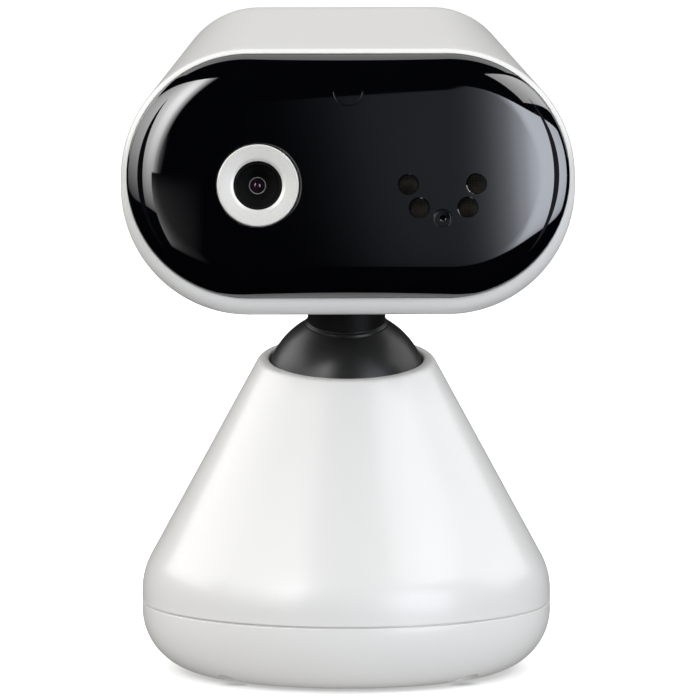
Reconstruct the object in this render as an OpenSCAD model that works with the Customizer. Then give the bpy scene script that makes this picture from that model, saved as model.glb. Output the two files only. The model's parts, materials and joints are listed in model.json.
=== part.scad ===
/* [Base] */
// Largest radius of the base, at the parting line
base_r = 35.3; // [34:0.1:37]
// Height of the parting line between the cone and the bottom cover
parting_z = 12.2; // [11.5:0.1:13]
// Angle of the cone's flank from the vertical
cone_angle = 28.4; // [27.5:0.1:29]
// Radius of the blend between the flank and the vertical band
flank_blend = 12.5; // [10:0.5:14]
// Radius of the rounded lower edge
foot_round = 10.5; // [9:0.5:11]
// Wall of the moulded base parts
base_wall = 2.2; // [2:0.1:2.4]
// Radius from the axis to the four screw wells
well_ring = 28.2; // [27.5:0.1:28.5]
// Radius of one screw well
well_r = 2.5; // [2.4:0.1:2.6]

/* [Ball joint] */
// Height of the ball's centre
ball_z = 48.5; // [48:0.1:49]
// Radius of the ball
ball_r = 14.2; // [14:0.1:14.4]
// Radial clearance of the ball in its seats
ball_gap = 0.1; // [0.05:0.01:0.1]
// Forward lean of the socket
socket_lean = 8; // [6:0.5:9]
// Height of the socket's rim above the ball's centre
rim_up = 5.9; // [5.6:0.1:6.2]
// Radius of the socket's mouth
mouth_r = 13.3; // [13.2:0.1:13.5]
// Forward lean of the neck at rest
neck_lean = 12.5; // [10:0.5:14]
// Radius of the neck
neck_r = 6.7; // [6.2:0.1:7]

/* [Head] */
// Slant of the face from the body's own axis
face_slant = 20; // [18:0.5:21]
// Distance from the ball's centre to the rim plane of the window
face_out = 26; // [25:0.5:27]
// Distance from the ball's centre up the face to the window's centre
face_up = 37; // [36.6:0.1:37.6]
// Radius of the window's round ends
window_r = 21; // [20.8:0.1:21.2]
// Half of the distance between the centres of the window's round ends
window_half = 17.1; // [16.8:0.1:17.8]
// Height of the window's dome above its rim plane
dome = 2.6; // [2.2:0.1:3]
// Width of the shell around the window
shell_rim = 1; // [0.9:0.1:1.2]
// Extra depth of the shell under the window
chin = 1.9; // [1.6:0.1:2.2]
// Radius of the round ends of the back
back_r = 14.4; // [14:0.1:15]
// Half of the distance between the centres of the back's round ends
back_half = 14.8; // [14.4:0.1:15.2]
// Distance from the neck's axis back to the start of the rounded back edge
back_out = 26; // [25:0.5:27]
// Height of the back's centre above the ball's centre
back_up = 46.5; // [46:0.1:47]
// Radius of the rounded back edge
back_round = 7; // [6.5:0.5:7.5]
// Wall of the head's shells
head_wall = 2; // [1.8:0.1:2.2]
// Distance from the neck's axis back to the joint between the head's shells
split_out = 26; // [25:0.5:27]

/* [Eye and lamps] */
// Lens place to the side of the window's centre
lens_x = -15.6; // [-17:0.1:-15]
// Lens place above the window's centre
lens_y = -1.7; // [-2.4:0.1:-1.4]
// Outer radius of the trim ring around the lens
ring_r = 7.1; // [6.9:0.05:7.2]
// Inner radius of the trim ring
ring_hole_r = 4.2; // [4:0.1:4.3]
// Radius of an infrared lamp's body
lamp_r = 1.5; // [1.4:0.05:1.5]

/* [Controls] */
// Radius of a button's cap
button_r = 2.4; // [2.2:0.1:2.6]
// Height of a button's cap above the back
button_proud = 0.7; // [0.6:0.1:0.8]

/* [Hidden] */
$fn = 96;

skim = 0.05;
past = 1;
big = 120;
floor_z = 0.15;
pad_r = 23.2;
pad_h = 1.15;
joint_gap = 0.35;
seat_r = ball_r + ball_gap;
sink_z = 4.6;
boss_foot_z = 8;
cover_deck_z = 3;
flank_top_r = 14;
flank_top_z = 56.45;
blend_z = flank_top_z - (base_r - flank_top_r) / tan(cone_angle) - flank_blend * tan(cone_angle / 2);
ring_top = 2.95;
ring_foot = -4;
ring_out_r = 15.35;
ring_lip_r = 16.4;
ring_lip_h = 1.4;
cup_out_r = 15.3;
cup_top = -4.2;
cup_foot = -16.3;
housing_out_r = 17.2;
housing_floor = -22.5;
housing_wall = 2;
flange_z = 24.5;
flange_h = 2;
flange_r = 24.5;
flange_screw_ring = 22;
flange_start = 30;
spring_r = 10.5;
spring_wire = 1.2;
spring_turns = 3;
spring_steps = 20;
spring_low = housing_floor + spring_wire / 2 + skim;
spring_high = cup_foot - spring_wire / 2 - skim;
neck_top = 28;
stub_r = 4.45;
stub_top = 31.55;
boss_top = 31;
boss_r = 9.2;
rim_z = -2.2;
rim_round = 2.4;
ledge_z = -4.6;
ledge_h = 2;
opening_r = window_r - 3.8;
lip_h = 2;
lip_root = 2.6;
deck_z = -0.6;
mask_h = 0.5;
plate_z = -11.5;
plate_h = 1.5;
lamp_board_z = -8.5;
board_h = 1;
camera_board_z = -14.5;
main_board_s = 13;
rear_board_s = 20.5;
thick_board = 1.2;
lamps = [[10.3, -1.6], [22.1, -1.5], [12.2, -5.7], [20.6, -5.6]];
mic = [16.2, -7.4];
sensor_y = 13.7;
frame_screws_at = [[-17.1, 17.2], [17.1, 17.2], [-17.1, -13.9], [17.1, -13.9]];
frame_boss_z = -9.95;
post_low = 3;
post_high = 23.95;
speaker_r = 8.4;
flex_path = [
    [2.46, 40.2], [3.6, 39.6], [5.6, 39.8], [7.4, 41.6], [9.4, 43], [12.9, 43.2],
    [12.9, 43.5], [9.3, 43.3], [7.1, 41.9], [5.4, 40.1], [3.7, 39.9], [2.57, 40.5]
];
board_posts = [[-26, 44.5], [26, 44.5], [0, 54]];
shell_posts = [[-12, 38], [12, 38]];
rear_board_posts = [[-22.5, 51.5], [22.5, 51.5]];
pair_place = [17, 50];
power_place = [17, 42.2];
inlet_place = [-17, 46.4];
back_flat = back_out + back_round;
grille_r = 0.7;
grille_pitch = 2.1;
shell_white = [0.93, 0.93, 0.92];
board_green = [0.05, 0.3, 0.18];
steel = [0.62, 0.63, 0.65];
soft_black = [0.05, 0.05, 0.05];

function stadium(half, r, steps = 24) = [
    for (side = [1, -1], i = [0 : steps])
    [side * (half + r * sin(180 * i / steps)), side * r * cos(180 * i / steps)]
];

function flank(inset) = [
    [base_r - inset, parting_z],
    for (a = [0 : cone_angle / 6 : cone_angle + 0.01])
    [base_r - flank_blend + (flank_blend - inset) * cos(a), blend_z + (flank_blend - inset) * sin(a)],
    [flank_top_r - inset / cos(cone_angle) - 2 * tan(cone_angle), flank_top_z + 2]
];

function foot(inset) = [
    for (a = [0 : 10 : 80])
    [base_r - foot_round + (foot_round - inset) * cos(a), floor_z + foot_round - (foot_round - inset) * sin(a)],
    [base_r - foot_round, floor_z + inset]
];

module at_ball() translate([0, 0, ball_z]) children();

module in_socket() at_ball() rotate([socket_lean, 0, 0]) children();

module in_neck() at_ball() rotate([neck_lean, 0, 0]) children();

module in_face()
    at_ball() rotate([neck_lean - face_slant, 0, 0])
        translate([0, -face_out, face_up]) rotate([90, 0, 0]) children();

module on_back(place, s) in_neck() translate([place[0], s, place[1]]) rotate([-90, 0, 0]) children();

module at_lens() in_face() translate([lens_x, lens_y, 0]) children();

module twins(x) {
    for (side = [-1, 1])
        translate([side * x, 0, 0]) children();
}

module around(count, r, start = 0) {
    for (i = [0 : count - 1])
        rotate([0, 0, start + 360 * i / count]) translate([r, 0, 0]) children();
}

module pipe(out_r, in_r, h) {
    difference() {
        cylinder(r = out_r, h = h);
        translate([0, 0, -past]) cylinder(r = in_r, h = h + 2 * past);
    }
}

module block(x, y, h) translate([-x / 2, -y / 2, 0]) cube([x, y, h]);

module screw(head_r, head_h, shank_r, shank_l) {
    difference() {
        union() {
            translate([0, 0, -head_h]) cylinder(r = head_r, h = head_h, $fn = 32);
            translate([0, 0, -head_h / 2]) cylinder(r = shank_r, h = shank_l + head_h / 2, $fn = 32);
        }
        for (turn = [0, 90])
            rotate([0, 0, turn]) translate([0, 0, -head_h - past]) block(head_r * 1.2, 0.5, head_h * 0.5 + past);
    }
}

module edge_ring(r, edge)
    rotate_extrude($fn = 48) translate([r - edge, 0]) circle(r = edge, $fn = 16);

module face_disc(inset) {
    if (inset == 0)
        edge_ring(window_r + shell_rim, rim_round);
    else
        cylinder(r = window_r + shell_rim - inset, h = rim_round / 2, $fn = 48);
}

module head_form(inset) {
    hull() {
        in_face() translate([0, 0, rim_z - rim_round]) {
            twins(window_half) face_disc(inset);
            translate([0, -chin, 0]) twins(window_half) face_disc(inset);
        }
        on_back([0, back_up], back_out) twins(back_half) edge_ring(back_r - inset, back_round - inset);
    }
}

module behind(s) in_neck() translate([-big / 2, s, -big / 2]) cube([big, big, big + 60]);

module ahead_of(s) in_neck() translate([-big / 2, s - big, -big / 2]) cube([big, big, big + 60]);

module in_front(z) in_face() translate([0, 0, z]) block(big, big, big);

// ---- base ----

module base_bosses(r, foot_z) around(4, well_ring, 45) translate([0, 0, foot_z]) cylinder(r = r, h = big / 3);

module flange_bosses(r, foot_z)
    around(3, flange_screw_ring, flange_start) translate([0, 0, foot_z]) cylinder(r = r, h = big / 6);

module base_shell() color(shell_white) difference() {
    union() {
        rotate_extrude() polygon(concat(flank(0), [for (i = [len(flank(0)) - 1 : -1 : 0]) flank(base_wall)[i]]));
        intersection() {
            union() {
                base_bosses(3, boss_foot_z);
                flange_bosses(2.8, flange_z + flange_h + skim);
            }
            rotate_extrude() polygon(concat(
                [[0, boss_foot_z], [base_r - base_wall - 1.4, boss_foot_z]],
                flank(base_wall / 2), [[0, flank_top_z + 2]]
            ));
        }
        intersection() {
            in_socket() translate([0, 0, ring_top]) cylinder(r = ball_r + 1, h = rim_up);
            rotate_extrude() polygon(concat([[0, parting_z]], flank(base_wall / 2), [[0, flank_top_z + 2]]));
        }
    }
    in_socket() {
        translate([0, 0, rim_up]) cylinder(r = big / 2, h = big / 4);
        sphere(r = seat_r);
        cylinder(r = mouth_r, h = rim_up + past);
        translate([0, 0, ring_top + skim - 16]) cylinder(r = ring_out_r + skim, h = 16);
        translate([0, 0, ring_foot - past]) cylinder(r = ring_lip_r + skim, h = ring_lip_h + past + skim);
        translate([0, 0, ring_foot - big / 3]) cylinder(r = housing_out_r + 0.1, h = big / 3);
    }
    base_bosses(1.25, boss_foot_z - big / 3 + 14);
    around(3, flange_screw_ring, flange_start) cylinder(r = 1.15, h = flange_z + 12);
}

module bottom_cover() color(shell_white) difference() {
    union() {
        difference() {
            rotate_extrude() polygon(concat(
                [[0, parting_z - joint_gap], [base_r, parting_z - joint_gap]], foot(0), [[0, floor_z]]
            ));
            difference() {
                rotate_extrude() polygon(concat(
                    [[0, parting_z], [base_r - base_wall, parting_z]], foot(base_wall), [[0, cover_deck_z]]
                ));
                around(4, well_ring, 45) cylinder(r = 4, h = boss_foot_z - skim);
                cylinder(r = 3.5, h = cover_deck_z + 1.5);
            }
        }
        translate([0, 0, parting_z - 3]) pipe(base_r - base_wall / 2, base_r - 2 * base_wall, 3 - joint_gap);
        translate([0, 0, parting_z - 3]) pipe(base_r - base_wall - 0.15, base_r - 2 * base_wall, 5);
    }
    around(4, well_ring, 45) {
        translate([0, 0, -past]) cylinder(r = well_r, h = sink_z + past);
        cylinder(r = 1.35, h = boss_foot_z + past);
    }
    around(4, well_ring, 45) translate([0, 0, boss_foot_z - skim]) cylinder(r = 4.2, h = 10);
    translate([0, 0, -past]) cylinder(r = pad_r + 0.1, h = past + pad_h + skim);
    translate([0, 0, pad_h + past]) cylinder(r = 1.15, h = 10);
}

module anti_slip_pad() color(soft_black) difference() {
    cylinder(r = pad_r, h = pad_h);
    for (r = [8, 14, 20])
        translate([0, 0, -past]) pipe(r + 0.4, r - 0.4, past + 0.4);
}

module ballast_weight() color(steel) difference() {
    translate([0, 0, cover_deck_z + 1.5 + skim]) cylinder(r = 21.5, h = 6);
    cylinder(r = 1.6, h = 20);
}

module ballast_screw() color(steel)
    translate([0, 0, cover_deck_z + 7.5 + 2 * skim]) mirror([0, 0, 1]) screw(3.6, 1.4, 1.1, 7.6);

module base_screws() color(steel)
    around(4, well_ring, 45) translate([0, 0, sink_z - skim]) screw(2.2, 1.4, 1.2, 11);

module socket_ring() color([0.2, 0.2, 0.21]) in_socket() difference() {
    union() {
        translate([0, 0, ring_foot]) cylinder(r = ring_out_r, h = ring_top - ring_foot);
        translate([0, 0, ring_foot]) cylinder(r = ring_lip_r, h = ring_lip_h);
    }
    sphere(r = seat_r);
}

module socket_housing() color([0.8, 0.8, 0.78]) difference() {
    union() {
        in_socket() translate([0, 0, housing_floor - housing_wall])
            cylinder(r = housing_out_r, h = ring_foot - skim - housing_floor + housing_wall);
        translate([0, 0, flange_z]) cylinder(r = flange_r, h = flange_h);
    }
    in_socket() translate([0, 0, housing_floor]) cylinder(r = cup_out_r + 0.08, h = 30);
    translate([0, 0, flange_z - 10]) cylinder(r = flange_r, h = 10);
    in_socket() translate([0, 0, -30]) cylinder(r = 3, h = 20);
    around(3, flange_screw_ring, flange_start) cylinder(r = 1.35, h = flange_z + 5);
    base_bosses(3.15, flange_z - past);
}

module housing_screws() color(steel)
    around(3, flange_screw_ring, flange_start) translate([0, 0, flange_z - skim]) screw(2.2, 1.4, 1.1, 10);

function spring_ring(i) = let (turn = 360 * i / spring_steps, rise = i / (spring_turns * spring_steps)) [
    for (j = [0 : 7])
    let (r = spring_r + spring_wire / 2 * cos(45 * j))
    [r * cos(turn), r * sin(turn), spring_low + (spring_high - spring_low) * rise + spring_wire / 2 * sin(45 * j)]
];

module cup_spring() color(steel) in_socket() {
    rings = spring_turns * spring_steps;
    polyhedron(
        points = [for (i = [0 : rings]) each spring_ring(i)],
        faces = [
            [for (j = [0 : 7]) j],
            [for (j = [7 : -1 : 0]) rings * 8 + j],
            for (i = [0 : rings - 1], j = [0 : 7])
            [i * 8 + j, (i + 1) * 8 + j, (i + 1) * 8 + (j + 1) % 8, i * 8 + (j + 1) % 8]
        ]
    );
}

module friction_cup() color([0.25, 0.25, 0.27]) in_socket() difference() {
    translate([0, 0, cup_foot]) cylinder(r = cup_out_r, h = cup_top - cup_foot);
    sphere(r = seat_r);
    translate([0, 0, cup_foot - past]) cylinder(r = 5, h = 8);
}

// ---- ball and neck ----

module ball_stem() color(soft_black) in_neck() difference() {
    union() {
        sphere(r = ball_r);
        cylinder(r = neck_r, h = neck_top);
        cylinder(r = stub_r, h = stub_top);
    }
    translate([0, 0, -ball_r - past]) cylinder(r = 5.5, h = ball_r + past + 3);
    translate([0, 0, stub_top - 12]) cylinder(r = 1.25, h = 12 + past);
}

module friction_washer() color([0.75, 0.72, 0.65])
    in_neck() translate([0, 0, boss_top + skim]) pipe(8.5, stub_r + skim, stub_top - boss_top - 2 * skim);

module stem_retainer() color(steel) in_neck() translate([0, 0, stub_top + skim]) pipe(8.5, 1.4, 1.5);

module stem_screw() color(steel)
    in_neck() translate([0, 0, stub_top + 1.5 + 2 * skim]) mirror([0, 0, 1]) screw(2.8, 1.6, 1.2, 11);

// ---- head ----

module at_frame_screws(z) in_face() {
    for (place = frame_screws_at)
        translate([place[0], place[1], z]) mirror([0, place[1] > 0 ? 1 : 0, 0]) children();
}

module head_cavity() difference() {
    head_form(head_wall);
    in_front(ledge_z - ledge_h);
    in_neck() translate([0, 0, boss_top - 12]) cylinder(r = boss_r, h = 12);
    at_frame_screws(frame_boss_z) {
        cylinder(r = 2.4, h = 6, $fn = 32);
        translate([-2.4, -6, 0]) cube([4.8, 6, 6]);
    }
}

module front_shell() color(shell_white) difference() {
    head_form(0);
    head_cavity();
    behind(split_out);
    in_face()
        translate([0, 0, ledge_z]) linear_extrude(20) polygon(stadium(window_half + skim, window_r + skim));
    in_face()
        translate([0, 0, ledge_z - ledge_h - 0.2]) linear_extrude(20) polygon(stadium(window_half - skim, opening_r));
    in_neck() cylinder(r = neck_r + 0.1, h = neck_top + skim);
    in_neck() cylinder(r = stub_r + skim, h = boss_top + past);
    at_frame_screws(frame_boss_z - past) cylinder(r = 1.05, h = 2.7 + past, $fn = 32);
}

module rear_bosses() {
    for (place = shell_posts)
        on_back(place, 24) cylinder(r = 2.7, h = 8, $fn = 32);
    for (place = rear_board_posts)
        on_back(place, rear_board_s + thick_board + skim) cylinder(r = 2.3, h = 12, $fn = 32);
    on_back([0, back_up], 26.5) pipe(speaker_r + 1.2, speaker_r + 0.1, 6);
}

module rear_shell() color(shell_white) difference() {
    union() {
        difference() {
            head_form(0);
            ahead_of(split_out + skim);
            difference() {
                head_form(head_wall);
                ahead_of(split_out + lip_root);
                rear_bosses();
            }
        }
        difference() {
            head_form(head_wall + 0.1);
            ahead_of(split_out - lip_h);
            behind(split_out + lip_root);
        }
    }
    difference() {
        head_form(head_wall + 1.1);
        behind(split_out + lip_root + skim);
    }
    for (place = shell_posts) {
        on_back(place, back_flat - 2) cylinder(r = 2.3, h = 4);
        on_back(place, 20) cylinder(r = 1.25, h = 20);
    }
    for (place = rear_board_posts)
        on_back(place, rear_board_s) cylinder(r = 1, h = 7);
    for (place = [pair_place, power_place])
        on_back(place, 25) cylinder(r = button_r + 0.1, h = 12);
    on_back(inlet_place, 25) linear_extrude(12) polygon(stadium(3, 1.9, 8));
    on_back([0, back_up], 25) {
        cylinder(r = grille_r, h = 12, $fn = 24);
        for (ring = [1 : 3])
            around(6 * ring, grille_pitch * ring) cylinder(r = grille_r, h = 12, $fn = 24);
    }
    for (x = [-4, 0, 4])
        on_back([x, 35.6], 25) cylinder(r = 0.7, h = 12, $fn = 24);
}

module shell_screws() color(steel) {
    for (place = shell_posts)
        on_back(place, back_flat - 2 + skim) mirror([0, 0, 1]) screw(2.1, 1.3, 1.15, 12);
}

module front_window() color([0.03, 0.03, 0.04]) in_face() difference() {
    hull() {
        twins(window_half) {
            translate([0, 0, ledge_z + 0.6]) cylinder(r = window_r, h = 2, $fn = 64);
            translate([0, 0, dome - 4.6]) edge_ring(window_r, 3.2);
        }
        twins(window_half) translate([0, 0, dome - 0.5]) cylinder(r1 = 11, r2 = 5, h = 0.5, $fn = 64);
    }
    translate([0, 0, ledge_z + 0.6 - big]) block(3 * big, 3 * big, big);
    translate([0, 0, ledge_z]) linear_extrude(deck_z - ledge_z) polygon(stadium(window_half, window_r - 1.8));
    translate([lens_x, lens_y, -10]) cylinder(r = ring_r + 0.2, h = 20);
    translate([mic[0], mic[1], -10]) cylinder(r = 0.5, h = 20, $fn = 24);
}

module window_gasket() color(soft_black) in_face() translate([0, 0, ledge_z + skim]) difference() {
    linear_extrude(0.5) polygon(stadium(window_half, window_r - 0.1));
    translate([0, 0, -past]) linear_extrude(4) polygon(stadium(window_half, window_r - 1.8));
}

module window_mask() color([0.02, 0.02, 0.02]) in_face() difference() {
    translate([0, 0, deck_z - mask_h - skim]) linear_extrude(mask_h) polygon(stadium(window_half, window_r - 2));
    translate([lens_x, lens_y, -10]) cylinder(r = ring_r + 0.2, h = 20);
    for (lamp = lamps)
        translate([lamp[0], lamp[1], -10]) cylinder(r = 1.7, h = 20, $fn = 32);
    translate([mic[0], mic[1], -10]) cylinder(r = 0.5, h = 20, $fn = 24);
    translate([0, sensor_y, -10]) cylinder(r = 2.5, h = 20, $fn = 32);
}

module inner_frame() color([0.15, 0.15, 0.16]) difference() {
    union() {
        intersection() {
            union() {
                in_face() translate([0, 0, plate_z])
                    linear_extrude(plate_h) polygon(stadium(window_half, window_r - 1.6));
                in_face() translate([0, 0, plate_z + plate_h / 2]) {
                    for (x = [9, 23.5])
                        translate([x, 3.2, 0]) cylinder(r = 1.6, h = lamp_board_z - plate_z - plate_h / 2 - skim);
                    twins(6.6)
                        translate([0, sensor_y, 0]) cylinder(r = 1.6, h = lamp_board_z - plate_z - plate_h / 2 - skim);
                }
            }
            head_form(head_wall + 0.4);
        }
        difference() {
            union() {
                for (post = board_posts)
                    on_back(post, -12) cylinder(r = 2.3, h = main_board_s - skim + 12);
                for (post = shell_posts)
                    on_back(post, post_low) cylinder(r = 2.6, h = post_high - post_low);
                on_back([0, 38], post_low) block(24, 3.2, 3);
                for (x = [-6, 6])
                    on_back([x, 38], -12) cylinder(r = 1.6, h = post_low + 13);
            }
            in_front(plate_z + plate_h / 2);
        }
        at_lens() for (y = [-7.6, 7.6])
            translate([0, y, camera_board_z + board_h + skim]) cylinder(r = 1.5, h = 2.6);
    }
    for (post = board_posts)
        on_back(post, main_board_s - 5) cylinder(r = 1.05, h = 8);
    for (post = shell_posts)
        on_back(post, 16) cylinder(r = 1.2, h = 10);
    in_neck() cylinder(r = 11, h = 36);
    at_lens() {
        translate([0, 0, plate_z - past]) block(9.8, 9.8, 4);
        for (y = [-7.6, 7.6])
            translate([0, y, camera_board_z]) cylinder(r = 0.85, h = 3.1, $fn = 24);
    }
    at_frame_screws(plate_z - past) cylinder(r = 1.2, h = 4);
}

module frame_screws() color(steel)
    at_frame_screws(plate_z - skim) screw(1.9, 1.1, 1, 4.1);

module lens_ring() color([0.88, 0.88, 0.88]) at_lens() difference() {
    union() {
        translate([0, 0, -1.9]) cylinder(r = ring_r + 1, h = 0.7);
        translate([0, 0, -1.5]) cylinder(r = ring_r, h = dome + 1.6);
    }
    translate([0, 0, -5]) cylinder(r = ring_hole_r, h = 20);
}

module lens_shroud() color(soft_black) at_lens() rotate_extrude() polygon([
    [3.45, -5], [6, -5], [6, -4.2], [ring_hole_r - skim, -3.6], [ring_hole_r - skim, 2.1],
    [ring_hole_r - 0.4, 2.1], [3.1, 0.4], [3.1, 0.1], [2.5, -1.6], [2.5, -1.9],
    [1.5, -2.2], [1.5, -2.6], [3.45, -2.6]
]);

module lens_barrel() color([0.08, 0.08, 0.08]) at_lens() rotate_extrude() polygon([
    [1.45, -2.7], [3.4, -2.7], [3.4, -10.4], [2.4, -10.4], [2, -9.6], [2, -3.4], [1.45, -3.4]
]);

module front_lens() color([0.35, 0.3, 0.5]) at_lens() intersection() {
    translate([0, 0, -4.9]) cylinder(r = 1.95, h = 1.45);
    translate([0, 0, -7.7]) sphere(r = 4.2);
}

module rear_lens() color([0.35, 0.3, 0.5]) at_lens() intersection() {
    translate([0, 0, -9]) cylinder(r = 1.95, h = 1.4);
    translate([0, 0, -4.7]) sphere(r = 4.2);
}

module lens_holder() color([0.1, 0.1, 0.1]) at_lens() difference() {
    union() {
        translate([0, 0, -13.45]) block(12, 12, 1.6);
        translate([0, 0, -12]) block(9.2, 9.2, 5.6);
    }
    translate([0, 0, -10.6]) cylinder(r = 3.45, h = 10);
    translate([0, 0, -14]) block(6.8, 6.8, 3.4);
    translate([0, 0, -10.7]) cylinder(r = 3, h = 10);
}

module infrared_filter() color([0.4, 0.6, 0.65]) at_lens() translate([0, 0, -11.05]) block(6.6, 6.6, 0.4);

module image_sensor() color([0.2, 0.2, 0.25])
    at_lens() translate([0, 0, camera_board_z + board_h + skim]) block(6, 5, 0.9);

module camera_board() color(board_green) at_lens() difference() {
    translate([0, 0, camera_board_z]) block(13, 18.4, board_h);
    for (y = [-7.6, 7.6])
        translate([0, y, camera_board_z - past]) cylinder(r = 0.9, h = 4, $fn = 24);
}

module camera_screws() color(steel) at_lens() for (y = [-7.6, 7.6])
    translate([0, y, camera_board_z - skim]) screw(1.5, 0.9, 0.8, 2.9);

module camera_flex() color([0.75, 0.45, 0.15])
    in_neck() translate([lens_x - 3.5, 0, 0]) rotate([90, 0, 90]) linear_extrude(4.5) polygon(flex_path);

module lamp_board() color(board_green) in_face() difference() {
    translate([6.6, -10, lamp_board_z]) cube([19.4, 15.4, board_h]);
    for (x = [9, 23.5])
        translate([x, 3.2, -20]) cylinder(r = 0.8, h = 30, $fn = 24);
}

module infrared_lamps() color([0.2, 0.2, 0.24]) in_face() for (lamp = lamps)
    translate([lamp[0], lamp[1], lamp_board_z + board_h + skim]) {
        cylinder(r = lamp_r + 0.2, h = 0.7, $fn = 32);
        cylinder(r = lamp_r, h = 3.2, $fn = 32);
        translate([0, 0, 3.2]) sphere(r = lamp_r - 0.01, $fn = 32);
    }

module lamp_baffles() color(soft_black) in_face() for (lamp = lamps)
    translate([lamp[0], lamp[1], lamp_board_z + board_h + 1]) pipe(2.15, 1.75, 5.2);

module microphone() color([0.8, 0.75, 0.5])
    in_face() translate([mic[0], mic[1], lamp_board_z + board_h + skim]) block(3.4, 2.6, 1);

module microphone_boot() color(soft_black)
    in_face() translate([mic[0], mic[1], lamp_board_z + board_h + 1.1]) pipe(1.8, 0.6, 5.1);

module sensor_board() color(board_green) in_face() difference() {
    translate([0, sensor_y, lamp_board_z]) block(17, 6.4, board_h);
    twins(6.6) translate([0, sensor_y, -20]) cylinder(r = 0.8, h = 30, $fn = 24);
}

module light_sensor() color([0.75, 0.75, 0.8])
    in_face() translate([-0.95, sensor_y, lamp_board_z + board_h + skim]) block(1.6, 2, 0.8);

module status_lamp() color([0.9, 0.95, 0.8])
    in_face() translate([1.1, sensor_y, lamp_board_z + board_h + skim]) block(1.2, 1.6, 0.7);

module sensor_baffle() color(soft_black)
    in_face() translate([0, sensor_y, lamp_board_z + board_h + skim]) pipe(3.1, 2.5, 6.2);

module main_board() color(board_green) difference() {
    on_back([0, 44.5], main_board_s) linear_extrude(thick_board) polygon(stadium(16, 12.6));
    for (post = board_posts)
        on_back(post, main_board_s - past) cylinder(r = 1.1, h = 4);
    for (post = shell_posts)
        on_back(post, main_board_s - past) cylinder(r = 3, h = 4);
}

module processor_shield() color(steel)
    on_back([0, 46], main_board_s + thick_board + skim) difference() {
        block(18, 12, 2.4);
        translate([0, 0, -past]) block(17.4, 11.4, past + 2.1);
    }

module heat_spreader() color([0.7, 0.7, 0.72])
    on_back([0, 46], main_board_s + thick_board + 2.5 + skim) block(17, 11, 1);

module board_screws() color(steel) for (post = board_posts)
    on_back(post, main_board_s + thick_board + skim) mirror([0, 0, 1]) screw(1.9, 1.1, 1, 5);

module board_connector() color([0.9, 0.88, 0.8])
    on_back([-16, 51], main_board_s + thick_board + skim)
        block(7, 3.4, rear_board_s - main_board_s - thick_board - 2 * skim);

module antenna() color([0.8, 0.5, 0.2]) in_neck() translate([-14, 6.4, 56.8]) cube([28, 6, 0.6]);

module speaker() color([0.1, 0.1, 0.11]) on_back([0, back_up], 24) difference() {
    union() {
        cylinder(r = 7, h = 3);
        translate([0, 0, 2.6]) cylinder(r = speaker_r, h = 2.8);
    }
    translate([0, 0, 4.2]) cylinder(r1 = 3, r2 = speaker_r - 1.3, h = 1.3);
}

module speaker_gasket() color(soft_black) on_back([0, back_up], 29.45) pipe(speaker_r, speaker_r - 1.2, 1.3);

module rear_board() color(board_green) difference() {
    on_back([0, back_up], rear_board_s) linear_extrude(thick_board) polygon(stadium(back_half, 11));
    for (post = rear_board_posts)
        on_back(post, rear_board_s - past) cylinder(r = 1.1, h = 4);
    for (post = shell_posts)
        on_back(post, rear_board_s - past) cylinder(r = 3, h = 4);
}

module power_inlet() color(steel) on_back(inlet_place, rear_board_s + thick_board + skim) difference() {
    linear_extrude(10.4) polygon(stadium(2.9, 1.6, 8));
    translate([0, 0, 2.4]) linear_extrude(10) polygon(stadium(2.9, 1.3, 8));
}

module inlet_tongue() color(soft_black) on_back(inlet_place, rear_board_s + thick_board + 2.4 + 2 * skim) {
    linear_extrude(1) polygon(stadium(2.9, 1.2, 8));
    block(6.6, 0.7, 6.6);
}

module button_switches() color([0.15, 0.15, 0.15]) for (place = [pair_place, power_place])
    on_back(place, rear_board_s + thick_board + skim) {
        block(4.4, 4.4, 3.4);
        cylinder(r = 1, h = 3.75, $fn = 24);
    }

module temperature_sensor() color([0.15, 0.2, 0.5])
    on_back([5, 41.2], rear_board_s + thick_board + skim) {
        block(3, 1.6, 1);
        cylinder(r = 0.7, h = 1.9, $fn = 24);
    }

module button_cap(place) {
    on_back(place, rear_board_s + thick_board + 4.6) cylinder(r = 1.5, h = 5);
    on_back(place, back_flat - head_wall - 1.1) cylinder(r = button_r + 0.6, h = 1);
    on_back(place, back_flat - head_wall - 0.6) cylinder(r = button_r, h = head_wall + 0.6 + button_proud);
}

module pair_button() color([0.85, 0.85, 0.85]) button_cap(pair_place);

module power_button() color([0.85, 0.85, 0.85]) button_cap(power_place);

base_shell();
bottom_cover();
anti_slip_pad();
ballast_weight();
ballast_screw();
base_screws();
socket_ring();
socket_housing();
housing_screws();
cup_spring();
friction_cup();
ball_stem();
friction_washer();
stem_retainer();
stem_screw();
front_shell();
rear_shell();
shell_screws();
front_window();
window_gasket();
window_mask();
inner_frame();
frame_screws();
lens_ring();
lens_shroud();
lens_barrel();
front_lens();
rear_lens();
lens_holder();
infrared_filter();
image_sensor();
camera_board();
camera_screws();
camera_flex();
lamp_board();
infrared_lamps();
lamp_baffles();
microphone();
microphone_boot();
sensor_board();
light_sensor();
status_lamp();
sensor_baffle();
main_board();
processor_shield();
heat_spreader();
board_screws();
board_connector();
antenna();
speaker();
speaker_gasket();
rear_board();
power_inlet();
inlet_tongue();
button_switches();
temperature_sensor();
pair_button();
power_button();
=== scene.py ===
"""Looks of the baby monitor camera: smooth shells, domed window, ball and neck, materials, studio and camera.

Lengths in the tables below are millimetres, as in the CAD source, and every mesh is built in metres.
"""

import json
import math

import bmesh
import bpy
from mathutils import Matrix, Vector


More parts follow.
